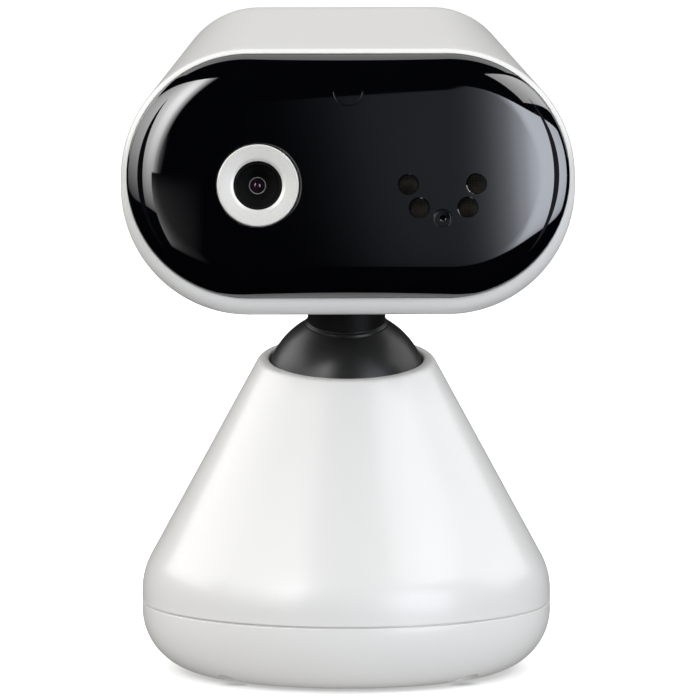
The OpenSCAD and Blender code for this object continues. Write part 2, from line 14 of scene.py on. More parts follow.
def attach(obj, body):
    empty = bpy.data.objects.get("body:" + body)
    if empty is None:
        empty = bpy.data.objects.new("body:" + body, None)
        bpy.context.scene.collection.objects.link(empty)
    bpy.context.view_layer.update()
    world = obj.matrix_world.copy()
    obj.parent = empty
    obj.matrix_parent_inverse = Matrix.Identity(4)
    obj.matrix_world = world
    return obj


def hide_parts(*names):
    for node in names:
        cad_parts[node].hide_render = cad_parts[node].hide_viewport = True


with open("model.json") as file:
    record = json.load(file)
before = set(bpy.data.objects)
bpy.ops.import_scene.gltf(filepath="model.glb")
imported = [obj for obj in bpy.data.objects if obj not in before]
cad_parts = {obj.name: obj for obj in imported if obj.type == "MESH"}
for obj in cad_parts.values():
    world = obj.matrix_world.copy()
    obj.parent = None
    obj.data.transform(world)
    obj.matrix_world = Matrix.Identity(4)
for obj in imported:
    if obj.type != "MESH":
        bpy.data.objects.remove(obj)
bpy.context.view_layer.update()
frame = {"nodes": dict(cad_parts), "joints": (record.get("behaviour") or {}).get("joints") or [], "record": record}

MM = 0.001
TURN = 2 * math.pi
ROUND_STEPS = 160

# ---- sizes shared with the CAD source ----

BASE_R = 35.3
PARTING_Z = 12.2
JOINT_GAP = 0.35
CONE_ANGLE = math.radians(28.4)
FLANK_BLEND = 12.5
FLANK_TOP = (14.0, 56.45)
FOOT_ROUND = 10.5
FLOOR_GAP = 0.15
BASE_WALL = 2.2
GROOVE_DEPTH = 0.45
WELL_RING = 28.2
WELL_R = 2.5
WELL_TOP = 4.6
WELL_BORE_R = 1.35
PAD_R = 23.2
PAD_H = 1.15

BALL_R = 14.2
SEAT_R = 14.3
RIM_UP = 5.9
MOUTH_R = 13.3
NECK_R = 6.7
NECK_TOP = 28.0
STUB_R = 4.45
STUB_TOP = 31.55

FACE_SLANT = math.radians(20)
FACE_OUT = 26.0
FACE_UP = 37.0
WINDOW_R = 21.0
WINDOW_HALF = 17.1
DOME = 2.6
SHELL_R = 22.0
CHIN = 1.9
RIM_Z = -2.2
RIM_ROUND = 2.4
LEDGE_Z = -4.6
LEDGE_H = 2.0
OPENING_R = 17.2
DECK_Z = -0.6
ROLL = 5.4
SKIRT_Z = -2.1
BACK_R = 14.28
BACK_HALF = 14.8
BACK_OUT = 26.0
BACK_UP = 46.5
BACK_ROUND = 7.0
HEAD_WALL = 2.0

LENS = (-15.6, -1.7)
RING_R = 7.1
RING_HOLE_R = 4.2
LAMPS = ((10.3, -1.6), (22.1, -1.5), (12.2, -5.7), (20.6, -5.6))
LAMP_WINDOW_R = 1.7
MIC = (16.2, -7.4)
SENSOR = (0.0, 14.5)
SENSOR_R = 2.5

SHELL_SCREWS = ((-12.0, 38.0), (12.0, 38.0))
BUTTONS = {"pair_button": (17.0, 50.0), "power_button": (17.0, 42.2)}
BUTTON_R = 2.4
BUTTON_PROUD = 0.7
INLET = (-17.0, 46.4)
VENTS = (-4.0, 0.0, 4.0)
VENT_UP = 35.6
GRILLE_R = 0.7
GRILLE_PITCH = 2.1
NECK_HOLE_R = 6.8
BOSS_R = 9.2
BOSS_FOOT = 23.4
BOSS_TOP = 31.0

# ---- places ----

JOINTS = {joint["name"]: joint for joint in frame["joints"]}
BALL_AT = Vector(JOINTS["ball_tilt"]["pos_m"])


def lean_of(axis):
    """How far an axis leans forward from the vertical, in radians."""
    return math.atan2(-axis[1], axis[2])


SOCKET_LEAN = lean_of(JOINTS["socket_turn"]["axis"])
NECK_LEAN = lean_of(JOINTS["head_swivel"]["axis"])

UPRIGHT = Matrix.Scale(MM, 4)
SOCKET = Matrix.Translation(BALL_AT) @ Matrix.Rotation(SOCKET_LEAN, 4, "X") @ UPRIGHT
NECK = Matrix.Translation(BALL_AT) @ Matrix.Rotation(NECK_LEAN, 4, "X") @ UPRIGHT
FACE = (
    Matrix.Translation(BALL_AT)
    @ Matrix.Rotation(NECK_LEAN - FACE_SLANT, 4, "X")
    @ UPRIGHT
    @ Matrix.Translation((0, -FACE_OUT, FACE_UP))
    @ Matrix.Rotation(math.radians(90), 4, "X")
)
BACK = NECK @ Matrix.Translation((0, 0, BACK_UP)) @ Matrix.Rotation(math.radians(-90), 4, "X")


def on_back(place):
    """A frame on the back at (x, height) of the neck's frame: z points backward."""
    return NECK @ Matrix.Translation((place[0], 0, place[1])) @ Matrix.Rotation(math.radians(-90), 4, "X")


def on_face(place):
    """A frame at (x, y) of the window: z points out towards the viewer."""
    return FACE @ Matrix.Translation((place[0], place[1], 0))


# ---- mesh tools ----


def polar(r, angle):
    return (r * math.cos(angle), r * math.sin(angle))


def rounded(corners, steps=5):
    """A path through corners (x, y[, z], radius) with each corner rounded by an arc of that radius."""
    points = [Vector(c[:-1]) for c in corners]
    radii = [c[-1] for c in corners]
    path = [points[0]]
    for before, corner, after, radius in zip(points, points[1:], points[2:], radii[1:]):
        to_before = (before - corner).normalized()
        to_after = (after - corner).normalized()
        half = to_before.angle(to_after) / 2
        if radius <= 0 or half > math.radians(89.5):
            path.append(corner)
            continue
        reach = radius / math.tan(half)
        centre = corner + (to_before + to_after).normalized() * (radius / math.sin(half))
        start = corner + to_before * reach - centre
        end = corner + to_after * reach - centre
        sweep = start.angle(end)
        for step in range(steps + 1):
            share = step / steps
            a, b = math.sin((1 - share) * sweep), math.sin(share * sweep)
            path.append(centre + (start * a + end * b) / math.sin(sweep))
    path.append(points[-1])
    return path


def across(sides):
    """Turns a list of paths, one for each spoke, into a list of rings."""
    return [list(ring) for ring in zip(*sides)]


def loft(rings, closed=True):
    """Vertices and faces of rings of points, each ring closed on itself.

    closed joins the last ring to the first.
    """
    count = len(rings[0])
    verts = [tuple(p) for ring in rings for p in ring]
    faces = []
    for i in range(len(rings) - (0 if closed else 1)):
        a, b = i * count, (i + 1) % len(rings) * count
        for j in range(count):
            k = (j + 1) % count
            faces.append((a + j, b + j, b + k, a + k))
    return verts, faces


def make(name, verts, faces, place=UPRIGHT):
    """A mesh object from points in millimetres of a frame, with outward normals and merged doubles."""
    mesh = bpy.data.meshes.new(name)
    mesh.from_pydata([place @ Vector(v) for v in verts], [], faces)
    obj = bpy.data.objects.new(name, mesh)
    bpy.context.scene.collection.objects.link(obj)
    work = bmesh.new()
    work.from_mesh(mesh)
    bmesh.ops.remove_doubles(work, verts=work.verts, dist=1e-7)
    bmesh.ops.dissolve_degenerate(work, edges=work.edges, dist=1e-8)
    bmesh.ops.recalc_face_normals(work, faces=work.faces)
    work.to_mesh(mesh)
    work.free()
    return obj


def revolve(name, profile, place=UPRIGHT, steps=ROUND_STEPS, closed=True):
    """A profile of (radius, z) points turned about z.

    closed joins its ends, otherwise both ends lie on the axis.
    """
    rings = [
        [(p[0] * math.cos(TURN * j / steps), p[0] * math.sin(TURN * j / steps), p[1]) for j in range(steps)]
        for p in profile
    ]
    return make(name, *loft(rings, closed), place)


def smooth(obj, angle=32):
    mesh = obj.data
    mesh.polygons.foreach_set("use_smooth", [True] * len(mesh.polygons))
    mesh.set_sharp_from_angle(angle=math.radians(angle))
    mesh.update()


def join(objects):
    """One object from several."""
    work = bmesh.new()
    for obj in objects:
        work.from_mesh(obj.data)
    work.to_mesh(objects[0].data)
    work.free()
    for obj in objects[1:]:
        bpy.data.objects.remove(obj)
    return objects[0]


def combine(obj, cutter, operation="DIFFERENCE"):
    """Cuts obj with cutter, or joins them, and removes the cutter."""
    step = obj.modifiers.new("combine", "BOOLEAN")
    step.operation = operation
    step.solver = "EXACT"
    step.use_self = False
    step.object = cutter
    graph = bpy.context.evaluated_depsgraph_get()
    mesh = bpy.data.meshes.new_from_object(obj.evaluated_get(graph))
    obj.modifiers.clear()
    old = obj.data
    mesh.name = obj.name
    obj.data = mesh
    bpy.data.meshes.remove(old)
    bpy.data.objects.remove(cutter)
    return obj


def finish_piece(obj, material, body, slot, *nodes, angle=32):
    """Smooths a piece, gives it its material, and declares what it rides on and stands for."""
    smooth(obj, angle)
    obj.data.materials.clear()
    obj.data.materials.append(material)
    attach(obj, body)
    if nodes:
        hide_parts(*nodes)
    return obj


def spokes(half, chin=0.0, arc=30, side=4, straight=22):
    """Spokes (centre x, centre y, angle) round a stadium, clockwise from the top right.

    There are always equally many. chin lowers the bottom half, which leaves short upright sides.
    """
    quarter = [math.pi / 2 * step / arc for step in range(arc)]
    rim = [(half, 0.0, math.pi / 2 - a) for a in quarter]
    rim += [(half, -chin * step / side, 0.0) for step in range(side)]
    rim += [(half, -chin, -a) for a in quarter]
    rim += [(half * (1 - 2 * step / straight), -chin, -math.pi / 2) for step in range(straight)]
    rim += [(-half, -chin, -math.pi / 2 - a) for a in quarter]
    rim += [(-half, -chin * (1 - step / side), -math.pi) for step in range(side)]
    rim += [(-half, 0.0, -math.pi - a) for a in quarter]
    rim += [(-half * (1 - 2 * step / straight), 0.0, math.pi / 2) for step in range(straight)]
    return rim


def on_spoke(spoke, r, z, flip=1):
    """The point at radius r and height z of a spoke. flip is -1 where the frame's y points down."""
    x, y, angle = spoke
    return Vector((x + r * math.cos(angle), flip * (y + r * math.sin(angle)), z))


# ---- materials ----


class Paint:
    """A procedural material: a Principled shader with object-space noise for colour, gloss and surface."""

    def __init__(self, name, color, roughness, metallic=0.0, coat=0.0, ior=1.5):
        self.material = bpy.data.materials.new(name)
        self.material.use_nodes = True
        self.tree = self.material.node_tree
        self.shader = self.tree.nodes["Principled BSDF"]
        self.shader.inputs["Metallic"].default_value = metallic
        self.shader.inputs["IOR"].default_value = ior
        self.shader.inputs["Coat Weight"].default_value = coat
        self.shader.inputs["Coat Roughness"].default_value = 0.03
        self.shader.inputs["Roughness"].default_value = roughness
        self.shader.inputs["Base Color"].default_value = (*color, 1)
        self.color = color
        self.roughness = roughness
        self.coords = self.tree.nodes.new("ShaderNodeTexCoord")
        self.height = None

    def node(self, kind, **settings):
        node = self.tree.nodes.new(kind)
        for key, value in settings.items():
            if key in node.inputs:
                node.inputs[key].default_value = value
            else:
                setattr(node, key, value)
        return node

    def link(self, source, target):
        self.tree.links.new(source, target)

    def noise(self, scale, detail, stretch):
        """A noise value at scale waves a metre, stretched along the axes."""
        mapping = self.node("ShaderNodeMapping")
        mapping.inputs["Scale"].default_value = stretch
        noise = self.node("ShaderNodeTexNoise", Scale=scale, Detail=detail)
        self.link(self.coords.outputs["Object"], mapping.inputs["Vector"])
        self.link(mapping.outputs["Vector"], noise.inputs["Vector"])
        return noise.outputs["Fac"]

    def spread(self, value, low, high):
        """Maps a noise value's middle range onto low to high."""
        span = self.node("ShaderNodeMapRange")
        for key, number in (("From Min", 0.3), ("From Max", 0.7), ("To Min", low), ("To Max", high)):
            span.inputs[key].default_value = number
        self.link(value, span.inputs["Value"])
        return span.outputs["Result"]

    def mottle(self, scale, amount, stretch=(1, 1, 1)):
        """Varies the base colour by a share of itself."""
        mix = self.node("ShaderNodeMix", data_type="RGBA")
        dark = [c * (1 - amount) for c in self.color]
        pale = [min(1.0, c * (1 + amount)) for c in self.color]
        mix.inputs["A"].default_value = (*dark, 1)
        mix.inputs["B"].default_value = (*pale, 1)
        self.link(self.spread(self.noise(scale, 3, stretch), 0, 1), mix.inputs["Factor"])
        self.link(mix.outputs["Result"], self.shader.inputs["Base Color"])
        return self

    def scuff(self, scale, amount, stretch=(1, 1, 1)):
        """Varies the roughness by amount either way."""
        rough = self.spread(self.noise(scale, 4, stretch), self.roughness - amount, self.roughness + amount)
        self.link(rough, self.shader.inputs["Roughness"])
        return self

    def grain(self, scale, depth, stretch=(1, 1, 1)):
        """Adds a bump of depth metres at scale waves a metre, on top of any grain before it."""
        bump = self.node("ShaderNodeBump", Distance=depth, Strength=1.0)
        self.link(self.noise(scale, 2.0, stretch), bump.inputs["Height"])
        if self.height:
            self.link(self.height, bump.inputs["Normal"])
        self.height = bump.outputs["Normal"]
        self.link(self.height, self.shader.inputs["Normal"])
        return self

    def cells(self, voronoi, centre, border):
        """Colours the surface by the distance to a cell's centre."""
        mix = self.node("ShaderNodeMix", data_type="RGBA")
        mix.inputs["A"].default_value = (*centre, 1)
        mix.inputs["B"].default_value = (*border, 1)
        self.link(self.coords.outputs["Object"], voronoi.inputs["Vector"])
        self.link(self.spread(voronoi.outputs["Distance"], 0, 1), mix.inputs["Factor"])
        self.link(mix.outputs["Result"], self.shader.inputs["Base Color"])


FAINT_SHINE = 0.12


def moulded(name, color, roughness, grain=2e-6, coat=0.0):
    """Moulded plastic: fine spark-eroded grain, faint colour drift and uneven gloss."""
    paint = Paint(name, color, roughness, coat=coat)
    return paint.mottle(60, 0.03).scuff(180, roughness * 0.15).grain(2600, grain)


def metal(name, color, roughness, stretch=(1, 1, 14)):
    """Bare metal with drawn or turned streaks."""
    paint = Paint(name, color, roughness, metallic=1.0)
    return paint.mottle(900, 0.08, stretch).scuff(1200, roughness * 0.3, stretch).grain(1500, 2e-6, stretch)


def shell_white():
    """Polished white plastic: a trace of moulding ripple under a clear gloss."""
    paint = Paint("white_gloss_plastic", (0.8, 0.791, 0.77), 0.31, coat=0.3)
    paint.shader.inputs["Coat Roughness"].default_value = 0.14
    return paint.mottle(35, 0.008).scuff(180, 0.015).grain(140, 4e-7).grain(2400, 1.5e-7)


def window_black():
    """Polished acrylic over black: near black, mirror smooth, with the faintest ripple."""
    paint = Paint("polished_black_window", (0.0012, 0.0013, 0.002), 0.03, coat=0.6, ior=1.9)
    return paint.mottle(90, 0.2).scuff(300, 0.012).grain(60, 1.2e-6)


def satin_trim():
    """Silver-white painted trim: a fine metallic flake under a satin finish."""
    paint = Paint("satin_silver_white_trim", (0.86, 0.845, 0.8), 0.38, metallic=0.25)
    return paint.mottle(2600, 0.02).scuff(900, 0.03).grain(4200, 8e-7)


def dotted_black():
    """A lamp's cover: near black with a fine array of moulded dots."""
    paint = Paint("dotted_lamp_cover", (0.02, 0.02, 0.022), 0.3)
    paint.shader.inputs["Specular IOR Level"].default_value = FAINT_SHINE
    dots = paint.node("ShaderNodeTexVoronoi", Scale=2300.0, feature="F1", Randomness=0.15)
    paint.cells(dots, (0.001, 0.001, 0.001), (0.016, 0.014, 0.01))
    return paint.scuff(900, 0.05).grain(2300, 2e-5)


def flocked_black():
    """The lens shroud: a light-trapping matt black with almost no shine."""
    paint = Paint("matt_lens_black", (0.004, 0.004, 0.004), 0.7)
    paint.shader.inputs["Specular IOR Level"].default_value = FAINT_SHINE
    return paint.mottle(900, 0.5).scuff(900, 0.05).grain(2600, 6e-6)


def board_green():
    """Solder-masked board: tracks show through as small blocks of a paler green."""
    paint = Paint("green_circuit_board", (0.02, 0.16, 0.09), 0.35, coat=0.3)
    tracks = paint.node("ShaderNodeTexVoronoi", Scale=900.0, distance="MANHATTAN", feature="F1")
    paint.cells(tracks, (0.02, 0.16, 0.09), (0.05, 0.3, 0.17))
    return paint.scuff(500, 0.06).grain(900, 1e-5)


def coated_glass(name, color):
    """Dark wine-red optical glass under a clear coat, with a violet tint in its reflections."""
    paint = Paint(name, color, 0.06, coat=1.0, ior=1.7)
    paint.shader.inputs["Specular Tint"].default_value = (0.75, 0.6, 1.0, 1)
    return paint.mottle(700, 0.5).scuff(400, 0.02).grain(80, 2e-7)


MATERIALS = {
    "shell_gloss_white": shell_white(),
    "pad_rubber": moulded("matt_black_rubber", (0.012, 0.012, 0.012), 0.75, 1.2e-5),
    "ballast_steel": metal("cast_ballast", (0.3, 0.3, 0.31), 0.6, (1, 1, 1)),
    "screw_steel": metal("zinc_plated_steel", (0.62, 0.63, 0.66), 0.3),
    "seat_black": moulded("acetal_seat", (0.02, 0.02, 0.02), 0.4, 1e-6),
    "housing_abs": moulded("natural_plastic", (0.6, 0.6, 0.57), 0.5, 5e-6),
    "spring_steel": metal("spring_wire", (0.5, 0.5, 0.52), 0.25, (6, 6, 1)),
    "ball_black": moulded("satin_black_ball", (0.0075, 0.0075, 0.0078), 0.36, 2.2e-6),
    "washer_nylon": moulded("nylon_washer", (0.6, 0.56, 0.47), 0.5, 4e-6),
    "plate_steel": metal("pressed_steel", (0.6, 0.6, 0.62), 0.28),
    "window_black": window_black(),
    "mask_black": moulded("printed_black_film", (0.004, 0.004, 0.004), 0.5, 1e-6),
    "frame_black": moulded("black_frame_plastic", (0.02, 0.02, 0.02), 0.5, 6e-6),
    "ring_silver": satin_trim(),
    "lens_black": flocked_black(),
    "lens_glass": coated_glass("coated_lens", (0.035, 0.012, 0.022)),
    "chip_dark": moulded("chip_package", (0.03, 0.03, 0.033), 0.45, 8e-6),
    "board_green": board_green(),
    "flex_amber": moulded("amber_flex", (0.55, 0.26, 0.05), 0.35, 4e-6),
    "lamp_resin": moulded("smoked_resin", (0.02, 0.018, 0.024), 0.12, 5e-7),
    "chip_pale": moulded("pale_package", (0.6, 0.56, 0.45), 0.4, 6e-6),
    "spreader_aluminium": metal("rolled_aluminium", (0.75, 0.75, 0.77), 0.35, (1, 12, 1)),
    "speaker_black": moulded("paper_cone", (0.02, 0.02, 0.02), 0.7, 1.5e-5),
    "button_white": moulded("satin_white_button", (0.74, 0.74, 0.73), 0.38, 2e-6),
}


def material_of(slot):
    return MATERIALS[slot].material


SLOT_OF = {part["node"]: part["material_slot"] for part in frame["record"]["subparts"]}


def paint_frame():
    """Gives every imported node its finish."""
    for node, obj in frame["nodes"].items():
        finish = material_of(SLOT_OF[node])
        if not obj.data.materials:
            obj.data.materials.append(finish)
        for index in range(len(obj.data.materials)):
            obj.data.materials[index] = finish


paint_frame()

# ---- base ----


def cone_r(z):
    """Radius of the straight flank at height z."""
    return FLANK_TOP[0] + (FLANK_TOP[1] - z) * math.tan(CONE_ANGLE)


def rim_meets(direction):
    """Where the flank meets the rim's plane, on the side that the unit vector (x, y) points to."""
    normal = Vector((0, -math.sin(SOCKET_LEAN), math.cos(SOCKET_LEAN)))
    centre = BALL_AT / MM + normal * RIM_UP
    low, high = 40.0, 70.0
    for _ in range(40):
        z = (low + high) / 2
        point = Vector((direction[0] * cone_r(z), direction[1] * cone_r(z), z))
        if (point - centre).dot(normal) > 0:
            high = z
        else:
            low = z
    return point


def base_shell():
    """The cone, with its rim rolled over into the mouth and the ball's seat inside."""
    corner_z = FLANK_TOP[1] - (BASE_R - FLANK_TOP[0]) / math.tan(CONE_ANGLE)
    blend_z = corner_z - FLANK_BLEND * math.tan(CONE_ANGLE / 2)
    to_socket = UPRIGHT.inverted() @ SOCKET
    sides = []
    for step in range(ROUND_STEPS):
        angle = TURN * step / ROUND_STEPS
        x, y = math.cos(angle), math.sin(angle)

        def outward(r, z):
            return (x * r, y * r, z)

        def in_socket(r, up):
            return tuple(to_socket @ Vector((x * r, y * r, up)))

        rim = rim_meets((x, y))
        blend = [
            (*outward(BASE_R - FLANK_BLEND + polar(FLANK_BLEND, a)[0], blend_z + polar(FLANK_BLEND, a)[1]), 0)
            for a in (CONE_ANGLE * k / 8 for k in range(9))
        ]
        flank = [(*outward(cone_r(z), z), 0) for z in (24, 30, 36, 42, 47, 50)]
        seat = [(*in_socket(*polar(SEAT_R, math.radians(a))), 0) for a in (16, 8, 0)]
        path = rounded(
            [(*outward(BASE_R, PARTING_Z), 0), (*outward(BASE_R, PARTING_Z + 0.3), 0)]
            + blend
            + flank
            + [(*rim, 1.1), (*in_socket(MOUTH_R, RIM_UP), 0.45), (*in_socket(MOUTH_R, RIM_UP - 0.9), 0)]
            + seat
            + [
                (*in_socket(SEAT_R + 1.1, -0.5), 0),
                (*outward(cone_r(44) - BASE_WALL / math.cos(CONE_ANGLE), 44), 0),
                (*outward(BASE_R - BASE_WALL, 18), 0),
                (*outward(BASE_R - BASE_WALL, PARTING_Z), 0.2),
                (*outward(BASE_R - 0.25, PARTING_Z), 0),
            ],
            4,
        )
        sides.append(path)
    return make("cone_shell", *loft(across(sides)))


def bottom_cover():
    """The rounded lower cover, with the screw wells cut through its lower edge."""
    centre = (BASE_R - FOOT_ROUND, FLOOR_GAP + FOOT_ROUND)
    lip_z = PARTING_Z - JOINT_GAP
    tongue_z = PARTING_Z - 0.02
    inner_r = BASE_R - BASE_WALL
    tongue_r = BASE_R - GROOVE_DEPTH
    recess_r = PAD_R + 0.1
    recess_z = PAD_H + 0.05
    inside = [(recess_r, recess_z, 0), (0.001, recess_z, 0), (0.001, 3, 0), (27, 3, 0), (inner_r, 9, 0)]
    lip = [(inner_r, tongue_z, 0.2), (tongue_r, tongue_z, 0), (tongue_r, lip_z, 0.05), (BASE_R, lip_z, 0.16)]
    foot = []
    for step in range(19):
        reach, rise = polar(FOOT_ROUND, -math.radians(5 * step))
        foot.append((centre[0] + reach, centre[1] + rise, 0))
    recess = [(recess_r, FLOOR_GAP, 0.2), (recess_r, recess_z, 0)]
    cover = revolve("bottom_cover", rounded(inside + lip + foot + recess)[:-1])
    well = [(0, -3), (WELL_R, -3), (WELL_R, WELL_TOP), (WELL_BORE_R, WELL_TOP), (WELL_BORE_R, 8), (0, 8)]
    for quarter in range(4):
        turn = Matrix.Rotation(math.radians(45 + 90 * quarter), 4, "Z")
        at = turn @ Matrix.Translation((WELL_RING, 0, 0))
        combine(cover, revolve("well", well, UPRIGHT @ at, 48, closed=False))
    return cover


def pad():
    """The rubber disc, with three moulded grooves underneath."""
    corners = [(0, 0, 0)]
    for r in (8, 14, 20):
        corners += [(r - 0.5, 0, 0.1), (r - 0.4, 0.4, 0.1), (r + 0.4, 0.4, 0.1), (r + 0.5, 0, 0.1)]
    corners += [(PAD_R, 0, 0.25), (PAD_R, PAD_H, 0.1), (0, PAD_H, 0)]
    return revolve("rubber_pad", rounded(corners), closed=False)


def ball_and_neck():
    """The ball, a small collar where the neck leaves it, and the neck with its swivel stub."""
    meet = math.acos((NECK_R + 0.5) / BALL_R)
    below = math.radians(66)
    steps = 56
    sphere = [polar(BALL_R, -below + (meet + below) * k / steps) for k in range(steps + 1)]
    collar_up = sphere[-1][1]
    corners = [(5.5, 3, 0), (5.5, sphere[0][1] + 0.3, 0.2)] + [(x, y, 0) for x, y in sphere]
    corners += [
        (NECK_R + 0.42, collar_up + 0.42, 0.3), (NECK_R, collar_up + 0.62, 0.2), (NECK_R, NECK_TOP, 0.3),
        (STUB_R, NECK_TOP, 0.1), (STUB_R, STUB_TOP, 0.3), (1.25, STUB_TOP, 0.2), (1.25, 20, 0), (0, 19, 0),
    ]
    return revolve("ball_and_neck", rounded([(0, 3, 0)] + corners), NECK, closed=False)


# ---- head ----


def flank_line(spoke, back_spoke):
    """The straight flank between the rounded edges.

    Gives (front roll angle, its point, back roll angle, its point).
    """
    out_front = (FACE.to_3x3() @ Vector((math.cos(spoke[2]), math.sin(spoke[2]), 0))).normalized()
    in_front = (FACE.to_3x3() @ Vector((0, 0, -1))).normalized()
    out_back = (BACK.to_3x3() @ Vector((math.cos(spoke[2]), -math.sin(spoke[2]), 0))).normalized()
    in_back = (BACK.to_3x3() @ Vector((0, 0, 1))).normalized()
    front_angle = back_angle = 0.0
    for _ in range(6):
        reach, rise = polar(RIM_ROUND, front_angle)
        start = FACE @ on_spoke(spoke, SHELL_R - RIM_ROUND + reach, RIM_Z - RIM_ROUND + rise)
        reach, rise = polar(BACK_ROUND, back_angle)
        end = BACK @ on_spoke(back_spoke, BACK_R - BACK_ROUND + reach, BACK_OUT + rise, -1)
        chord = end - start
        front_angle = math.atan2(chord.dot(out_front), chord.dot(in_front))
        back_angle = -math.atan2(chord.dot(out_back), chord.dot(in_back))
    return front_angle, start, back_angle, end


HEAD_SPOKES = list(zip(spokes(WINDOW_HALF, CHIN), spokes(BACK_HALF), spokes(WINDOW_HALF)))
SEAM = 0.12
POCKET_R = WINDOW_R + 0.05


def split_share(start, end, out):
    """How far along start to end the plane at distance out behind the neck lies."""
    into_neck = NECK.inverted()
    a, b = (into_neck @ start).y, (into_neck @ end).y
    return (out - a) / (b - a)


def front_shell():
    """The main shell: rim and ledge round the window, rolled lip, and the flank back to the joint."""
    sides = []
    for spoke, back_spoke, plain in HEAD_SPOKES:
        front_angle, start, _, end = flank_line(spoke, back_spoke)
        chin = max(0.0, -math.sin(spoke[2])) * -spoke[1]
        edge = POCKET_R - (SHELL_R - RIM_ROUND) - chin
        first = math.acos(min(1.0, edge / RIM_ROUND)) if edge > 0 else math.pi / 2
        path = [
            FACE @ on_spoke(plain, OPENING_R, LEDGE_Z - LEDGE_H),
            FACE @ on_spoke(plain, OPENING_R, LEDGE_Z),
            FACE @ on_spoke(plain, POCKET_R, LEDGE_Z),
        ]
        rim = RIM_Z - RIM_ROUND + RIM_ROUND * math.sin(first)
        path.append(FACE @ on_spoke(plain, POCKET_R, rim - 0.12))
        path.append(FACE @ on_spoke(plain, POCKET_R + 0.03, rim - 0.03))
        for step in range(13):
            angle = first + (front_angle - first) * step / 12
            reach, rise = polar(RIM_ROUND, angle)
            path.append(FACE @ on_spoke(spoke, SHELL_R - RIM_ROUND + reach, RIM_Z - RIM_ROUND + rise))
        share = split_share(start, end, BACK_OUT)
        path += [start.lerp(end, share * step / 8) for step in range(1, 9)]
        path.append(BACK @ on_spoke(back_spoke, BACK_R - HEAD_WALL, BACK_OUT, -1))
        path.append(FACE @ on_spoke(spoke, SHELL_R - HEAD_WALL, LEDGE_Z - LEDGE_H))
        sides.append(path)
    shell = make("front_shell_skin", *loft(across(sides)), Matrix.Identity(4))
    boss = [(0, BOSS_FOOT), (BOSS_R, BOSS_FOOT), (BOSS_R, BOSS_TOP), (0, BOSS_TOP)]
    combine(shell, revolve("boss", boss, NECK, 96, closed=False), "UNION")
    upper_r = STUB_R + 0.05
    hole = [(0, 5), (NECK_HOLE_R, 5), (NECK_HOLE_R, NECK_TOP), (upper_r, NECK_TOP), (upper_r, 33), (0, 33)]
    return combine(shell, revolve("neck_hole", hole, NECK, 96, closed=False))


def rear_shell():
    """The rear cap: the rolled edge and the flat back, with its openings cut."""
    sides = []
    flat = BACK_R - BACK_ROUND
    inner = BACK_ROUND - HEAD_WALL
    for spoke, back_spoke, _ in HEAD_SPOKES:
        _, start, back_angle, end = flank_line(spoke, back_spoke)
        path = [BACK @ on_spoke(back_spoke, flat * k / 4, BACK_OUT + inner, -1) for k in range(4)]
        for step in range(8):
            reach, rise = polar(inner, math.pi / 2 * (1 - step / 8))
            path.append(BACK @ on_spoke(back_spoke, flat + reach, BACK_OUT + rise, -1))
        path.append(BACK @ on_spoke(back_spoke, flat + inner, BACK_OUT + SEAM, -1))
        first = start.lerp(end, split_share(start, end, BACK_OUT + SEAM))
        path += [first, first.lerp(end, 0.5)]
        for step in range(15):
            reach, rise = polar(BACK_ROUND, back_angle + (math.pi / 2 - back_angle) * step / 14)
            path.append(BACK @ on_spoke(back_spoke, flat + reach, BACK_OUT + rise, -1))
        top = BACK_OUT + BACK_ROUND
        path += [BACK @ on_spoke(back_spoke, flat * (1 - k / 4), top, -1) for k in range(1, 5)]
        sides.append(path)
    shell = make("rear_shell_skin", *loft(across(sides), closed=False), Matrix.Identity(4))
    for cutter in rear_cutters():
        combine(shell, cutter)
    return shell


def rear_cutters():
    """Cutters for the screw wells, button holes, inlet, speaker grille and vents, with small chamfers."""
    out = BACK_OUT + BACK_ROUND
    inside = out - HEAD_WALL - 2

    def bore(name, place, r, chamfer=0.2, steps=48):
        profile = [(0, inside), (r, inside), (r, out - chamfer), (r + chamfer + 1, out + 1), (0, out + 1)]
        return revolve(name, profile, on_back(place), steps, closed=False)

    shank_r, head_r = 1.25, 2.3
    well = [(0, out - 5), (shank_r, out - 5), (shank_r, out - 1.9), (head_r, out - 1.9)]
    well += [(head_r, out - 0.2), (head_r + 1.2, out + 1), (0, out + 1)]
    for place in SHELL_SCREWS:
        yield revolve("well", well, on_back(place), 48, closed=False)
    for place in BUTTONS.values():
        yield bore("button_hole", place, BUTTON_R + 0.1)
    levels = ((0, inside), (1.9, inside), (1.9, out - 0.2), (3.1, out + 1), (0, out + 1))
    slot = [[on_spoke(spoke, r, z, -1) for spoke in spokes(3.0)] for r, z in levels]
    yield make("inlet_slot", *loft(slot, closed=False), on_back(INLET))
    grille = [(0.0, BACK_UP)]
    for ring in (1, 2, 3):
        for step in range(6 * ring):
            x, y = polar(GRILLE_PITCH * ring, TURN * step / (6 * ring))
            grille.append((x, BACK_UP - y))
    holes = [bore("hole", place, GRILLE_R, 0.1, 20) for place in grille]
    holes += [bore("vent", (x, VENT_UP), GRILLE_R, 0.1, 20) for x in VENTS]
    yield join(holes)


CROWN_BEND = 0.0046
SIDE_BEND = 0.0012
ROLL_POWER = 2.3
SKIRT_WALL = 1.8


def window_height(x, y):
    """Height of the window's outer face: a shallow dome that rolls over to the skirt."""
    r = math.hypot(max(abs(x) - WINDOW_HALF, 0.0), y)
    crown = DOME - CROWN_BEND * r * r - SIDE_BEND * x * x
    share = max(0.0, 1 - (WINDOW_R - r) / ROLL)
    edge = (1 - share**ROLL_POWER) ** (1 / ROLL_POWER) if share < 1 else 0.0
    return SKIRT_Z + (crown - SKIRT_Z) * edge


